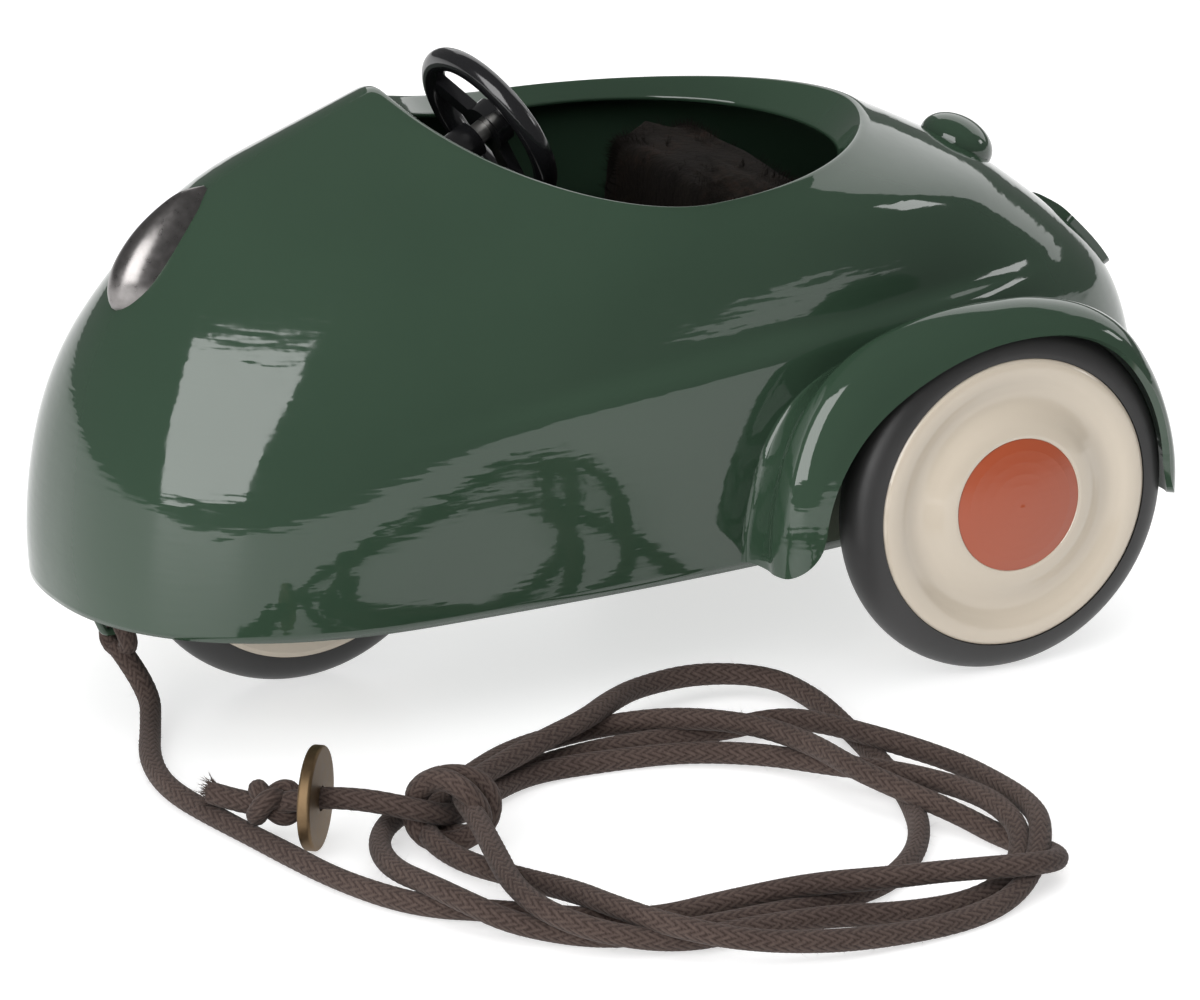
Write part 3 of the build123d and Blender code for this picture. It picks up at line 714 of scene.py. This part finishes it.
def fibres(name, roots, directions, length, material, body, seed, thick=0.035):
    """Short loose fibres, each a bent three-sided sliver that thins to its tip."""
    rng = random.Random(seed)
    points, faces = [], []
    for root, way in zip(roots, directions):
        root, way = Vector(root), Vector(way).normalized()
        side = way.orthogonal().normalized()
        other = way.cross(side)
        curl = Vector([rng.uniform(-1, 1) for _ in range(3)])
        reach = length * rng.uniform(0.35, 1.0)
        first = len(points)
        for k in range(4):
            t = k / 4
            middle = root + way * reach * t + curl * reach * FIBRE_CURL * t * t
            for m in range(3):
                a = m * 2 * math.pi / 3
                spoke = side * math.cos(a) + other * math.sin(a)
                points.append(tuple(middle + spoke * thick * (1 - t)))
        points.append(tuple(root + way * reach + curl * reach * FIBRE_CURL))
        for k in range(3):
            for m in range(3):
                p, q = first + 3 * k + m, first + 3 * k + (m + 1) % 3
                faces.append((p, q, q + 3, p + 3))
        for m in range(3):
            faces.append((first + 9 + m, first + 9 + (m + 1) % 3, first + 12))
    mesh = mesh_of(name, points, faces)
    # painted highlight: every fibre point takes the near-lightest crown tone
    set_painted_light(mesh, np.full(len(points), FIBRE_PAINTED_LIGHT))
    return link(name, mesh, material, body)


def ellipse(centre, across, upward, lean, n=14):
    """A closed route round the tied turns."""
    centre, across, upward, lean = (Vector(v) for v in (centre, across, upward, lean))
    return [
        tuple(centre + across * math.cos(a) + upward * math.sin(a) + lean * math.sin(2 * a))
        for a in (k * 2 * math.pi / n for k in range(n))
    ]


def make_eye_loop():
    """The cord's end, passed round the tow eye."""
    round_eye = ellipse(EYE_MIDDLE, (0, EYE_LOOP_R, 0), (0, 0, EYE_LOOP_R), (0.5, 0, 0))
    route = spline_points("eye_route", round_eye, True)
    loop, _ = braid("eye_loop_braid", route, EYE_CORD_R, up=(1, 0, 0), closed=True)
    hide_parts("cord_eye_loop")
    return loop


def make_wraps():
    """Two leaning turns of cord round the tied strands."""
    across, forward = Vector(TIE_ACROSS), Vector(TIE_ALONG)
    wraps = []
    for k, (offset, lean) in enumerate(TIE_WRAPS):
        centre = Vector(TIE_MIDDLE) + forward * offset
        upward = (0, 0, TIE_HEIGHT + 0.2 * k)
        route = ellipse(centre, across * (1.25 - 0.12 * k), upward, forward * lean)
        loop = spline_points("wrap_route", route, True)
        wrap, _ = braid(f"tie_wrap_{k + 1}", loop, CORD_R, up=TIE_ALONG, closed=True)
        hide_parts("cord_tie_knot")
        wraps.append(wrap)
    return wraps


def make_end_knot():
    """An overhand knot, as a trefoil laid nearly flat."""
    route = []
    for k in range(KNOT_POINTS):
        t = k * 2 * math.pi / KNOT_POINTS
        x = math.sin(t) + 2 * math.sin(2 * t)
        y = math.cos(t) - 2 * math.cos(2 * t)
        z = -1.5 * math.sin(3 * t)
        route.append(tuple(Vector(KNOT_MIDDLE) + Vector((x, y, z)) * KNOT_SCALE))
    line = spline_points("end_knot_route", route, True)
    knot, _ = braid("end_knot_braid", line, KNOT_CORD_R, up=(0.13, 0.21, 1), closed=True)
    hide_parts("cord_end_knot")
    return knot


def make_frayed_end(rng):
    """A brush of loose threads at the tail's tip."""
    tip, way = Vector(CORD_ROUTE[-1]), Vector(TAIL_WAY).normalized()
    side = way.orthogonal().normalized()
    other = way.cross(side).normalized()
    roots, ways = [], []
    for _ in range(FRAY_COUNT):
        a, r = rng.uniform(0, 2 * math.pi), FRAY_R * math.sqrt(rng.random())
        off = side * math.cos(a) * r + other * math.sin(a) * r
        roots.append(tip - way * 0.6 + off)
        ways.append(way + off * 0.28)
    return fibres(
        "frayed_end", roots, ways, FRAY_LENGTH, cotton, "car", 7, thick=0.13
    )


def make_lint(line, rng):
    """Short loose threads that stand off the cord all along it."""
    roots, ways = [], []
    for k in range(0, len(line) - 1, 2):
        a = rng.uniform(0, 2 * math.pi)
        tangent = Vector(line[k + 1] - line[k]).normalized()
        side = tangent.orthogonal().normalized()
        out = side * math.cos(a) + tangent.cross(side) * math.sin(a)
        place = Vector(line[k]) + out * CORD_R * 0.98
        if place.z > 0.5:
            roots.append(place)
            ways.append(out + tangent * rng.uniform(-2.2, 2.2))
    return fibres(
        "cord_lint", roots, ways, LINT_LENGTH, cotton, "car", 11, thick=0.02
    )


def make_cord():
    cord, line = braid("pull_cord", spline_points("cord_route", CORD_ROUTE))
    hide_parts("cord_lead", "cord_coil", "cord_tail")
    eye_loop = make_eye_loop()
    wraps = make_wraps()
    end_knot = make_end_knot()
    rng = random.Random(5)
    frayed = make_frayed_end(rng)
    lint = make_lint(line, rng)


# ------------------------------------------------------------ wheel discs
WHEEL_R = 24.1
TRACK_HALF = 39.0
DISC_RIM = 19.95
HUB_R = 3.0
# Radius and height: the face outside the centre's seat, and the disc's back.
DISC_RIDGE = [
    (9.3, 4.95), (9.9, 4.93), (11.2, 4.55), (12.6, 3.75), (13.9, 3.15), (15.1, 3.05),
    (16.3, 3.45), (17.4, 3.95), (18.5, 4.12), (19.4, 4.0), (DISC_RIM, 3.6),
]
DISC_BACK = [
    (DISC_RIM, 3.2), (16.6, 3.2), (15.1, 2.5), (13.9, 2.6), (12.6, 3.2), (11.2, 3.95),
    (9.9, 4.2), (9.2, 2.1), (HUB_R, 2.1),
]


def make_disc_face(name, node, wheel, side):
    """A pressed wheel disc with a broad soft valley round its raised middle."""
    outline = [(HUB_R, 2.9), (8.6, 2.9), (9.1, 4.7)]
    outline += [tuple(p) for p in smooth_line(DISC_RIDGE, 8)] + DISC_BACK
    turns = np.linspace(0, 2 * math.pi, 120, endpoint=False)
    rows = [
        [(r * math.cos(a), side * (TRACK_HALF + h), WHEEL_R + r * math.sin(a)) for a in turns]
        for r, h in outline
    ]
    mesh = mesh_of(name, np.array(rows), grid_faces(len(outline), len(turns), True, True))
    face_outward(mesh)
    piece = link(name, mesh, cream, wheel)
    mesh.set_sharp_from_angle(angle=math.radians(40))
    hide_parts(node)


# ------------------------------------------------------------ seat
ROUND_PLAN = 0.24
ROUND_HEIGHT = 0.20
PILE_LENGTH = 1.5


def squared(value, power):
    """A sine or cosine pushed towards a square outline."""
    return np.sign(value) * np.abs(value) ** power


def make_pad(name, node, x, half, z, crown, seed):
    """A stuffed pad: a crowned closed form whose sides pull in at the corners."""
    n_u, n_v = 96, 60
    turn = np.linspace(0, 2 * math.pi, n_u, endpoint=False)
    lean = np.linspace(-math.pi / 2, math.pi / 2, n_v)
    cu, su = np.cos(turn)[None, :], np.sin(turn)[None, :]
    cv, sv = np.cos(lean)[:, None], np.sin(lean)[:, None]

    px = squared(cu, ROUND_PLAN) * squared(cv, ROUND_HEIGHT)
    py = squared(su, ROUND_PLAN) * squared(cv, ROUND_HEIGHT)
    pz = squared(sv, ROUND_HEIGHT) * np.ones_like(cu)
    swell_out = 1 - crown * (px**2 + py**2 + pz**2 - 1).clip(0, 2) * 0.5
    rng = np.random.default_rng(seed)
    waves = sum(
        0.012 * np.sin(px * k[0] + py * k[1] + pz * k[2] + k[3])
        for k in rng.uniform(-9, 9, (9, 4))
    )
    scale = swell_out + waves
    mid = np.array([(x[0] + x[1]) / 2, 0, (z[0] + z[1]) / 2])
    half_size = np.array([(x[1] - x[0]) / 2, half, (z[1] - z[0]) / 2])
    points = np.stack([px * scale, py * scale, pz * scale], -1).clip(-1, 1) * half_size + mid
    faces = grid_faces(n_v, n_u, close_columns=True)
    mesh = mesh_of(name, points, faces)
    face_outward(mesh, weld=0.00001)
    piece = link(name, mesh, felt, "car")
    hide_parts(node)
    pile_rng = random.Random(seed)
    roots, ways = [], []
    centre = Vector(mid)
    for face in mesh.polygons:
        if face.normal.z > -0.3 and pile_rng.random() < 0.8:
            place = face.center / MM + Vector((CAR_MIDDLE, 0, 0))
            roots.append(place - face.normal * 0.1)
            ways.append(face.normal + (place - centre).normalized() * 0.4)
    fibres(f"{name}_pile", roots, ways, PILE_LENGTH, felt, "car", seed, thick=0.05)


# ------------------------------------------------------------ headlamp
# Distance up the nose, half width and rise above the body.
LAMP_SECTIONS = [
    (0, 1.0, 0.4), (0.6, 2.2, 1.3), (1.8, 3.3, 2.3), (4.0, 4.2, 3.2), (7.0, 4.1, 3.5),
    (10.0, 3.4, 3.1), (13.0, 2.3, 2.2), (15.4, 0.6, 0.5),
]
LAMP_SHIFT = 0.4
LAMP_SINK = 2.4
LAMP_LEVEL = 3.66  # ring at the blister's lower tip
LEVEL_PER_MM = 0.097


def make_lamp():
    """A teardrop blister on the nose, widest low down and drawn out upwards."""
    stations = smooth_line(LAMP_SECTIONS, 10)
    swing = np.linspace(-math.pi / 2, math.pi / 2, 49)
    rows = []
    for reach, half, rise in stations:
        height = LAMP_LEVEL + LEVEL_PER_MM * reach
        base = skin(height, 1e-4)
        normal = outward(height, 1e-4)
        lift = (LAMP_SINK + rise) * np.cos(swing) - LAMP_SINK
        side = LAMP_SHIFT + half * np.sin(swing)
        rows.append(base + np.outer(lift, normal) + np.outer(side, (0, 1, 0)))
    rows = np.array(rows)
    faces = grid_faces(*rows.shape[:2])
    n, m = rows.shape[:2]
    faces += [tuple(range(m)), tuple((n - 1) * m + k for k in range(m - 1, -1, -1))]
    faces.append(tuple(k * m for k in range(n - 1, -1, -1)) + tuple(k * m + m - 1 for k in range(n)))
    mesh = mesh_of("headlamp_blister", rows, faces)
    face_outward(mesh)
    piece = link("headlamp_blister", mesh, silver, "car")
    mesh.set_sharp_from_angle(angle=math.radians(50))
    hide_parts("headlamp")


def dress_frame():
    """The CAD nodes that stay get the materials of their slots."""
    finishes = {
        "body_paint": green, "lamp_paint": silver, "cream_paint": cream, "red_paint": red,
        "tyre_rubber": rubber, "black_paint": black, "bare_steel": bare, "seat_cloth": felt,
        "cord_cotton": cotton, "disc_brass": brass,
    }
    for part in frame["record"]["subparts"]:
        node = frame["nodes"][part["node"]]
        for place in node.material_slots:
            place.material = finishes[part["material_slot"]]


make_camera()
dress_frame()
body = make_body()
bpy.context.view_layer.update()
make_fenders(BVHTree.FromObject(body, bpy.context.evaluated_depsgraph_get()))
make_lamp()
make_disc_face("wheel_left_disc_face", "wheel_left_disc_outer", "wheel_left", 1)
make_disc_face("wheel_right_disc_face", "wheel_right_disc_outer", "wheel_right", -1)
make_pad("seat_pad", "seat_cushion", (32.8, 52.3), 18.8, (31.1, 39.8), 0.4, 3)
make_pad("seat_back_pad", "seat_back", (16.5, 31.9), 18.9, (31.1, 64.5), 0.12, 4)
make_cord()


# ------------------------------------------------------------ stage
TABLE_EDGE_Y = 225.0
FLOOR_REACH = 6.0
WORLD_STRENGTH = 0.17
FLOOR_GLOW = 0.62
STUDIO_AIM = (40, 0, 40)


def floor_part(name, near, far, material, seen):
    mesh = bpy.data.meshes.new(name)
    w = FLOOR_REACH
    mesh.from_pydata([(-w, near, 0), (w, near, 0), (w, far, 0), (-w, far, 0)], [], [(0, 1, 2, 3)])
    mesh.materials.append(material)
    part = bpy.data.objects.new(name, mesh)
    bpy.context.scene.collection.objects.link(part)
    part.visible_glossy = seen


def make_floor():
    """A pale floor. What lies in front of the table's edge makes no reflection in the enamel."""
    material, nodes, links, shader = new_material("studio_floor")
    shader.inputs["Roughness"].default_value = 0.45
    tone = noise_node(nodes, links, 3, 2)
    links.new(
        ramp_node(nodes, links, tone, [(0.3, (0.52, 0.52, 0.52)), (0.7, (0.54, 0.54, 0.54))]),
        shader.inputs["Base Color"],
    )
    shader.inputs["Emission Color"].default_value = (1, 1, 1, 1)
    shader.inputs["Emission Strength"].default_value = FLOOR_GLOW
    edge = TABLE_EDGE_Y * MM
    floor_part("studio_floor", -FLOOR_REACH, edge, material, True)
    floor_part("studio_floor_front", edge, FLOOR_REACH, material, False)


def softbox(name, azimuth, elevation, distance, width, height, power, seen=True):
    data = bpy.data.lights.new(name, "AREA")
    data.shape = "RECTANGLE"
    data.size, data.size_y = width, height
    data.energy = power
    light = bpy.data.objects.new(name, data)
    bpy.context.scene.collection.objects.link(light)
    away = aim(azimuth, elevation)
    light.location = row(STUDIO_AIM) + away * distance
    light.rotation_euler = away.to_track_quat("Z", "Y").to_euler()
    light.visible_glossy = seen


def make_studio():
    make_floor()
    world = bpy.data.worlds.new("studio")
    world.use_nodes = True
    world.node_tree.nodes["Background"].inputs["Color"].default_value = (1.0, 1.0, 1.0, 1)
    world.node_tree.nodes["Background"].inputs["Strength"].default_value = WORLD_STRENGTH
    bpy.context.scene.world = world
    softbox("key", 30, 24, 1.6, 1.2, 1.32, 23)
    softbox("overhead", 70, 76, 1.6, 2.2, 2.2, 22, seen=False)
    softbox("backdrop", -140, 32, 2.4, 3.2, 1.9, 26)
    softbox("rear", 166, 20, 1.8, 0.42, 0.3, 1.6)
    scene = bpy.context.scene
    scene.view_settings.view_transform = "Standard"
    scene.view_settings.look = "None"


make_studio()
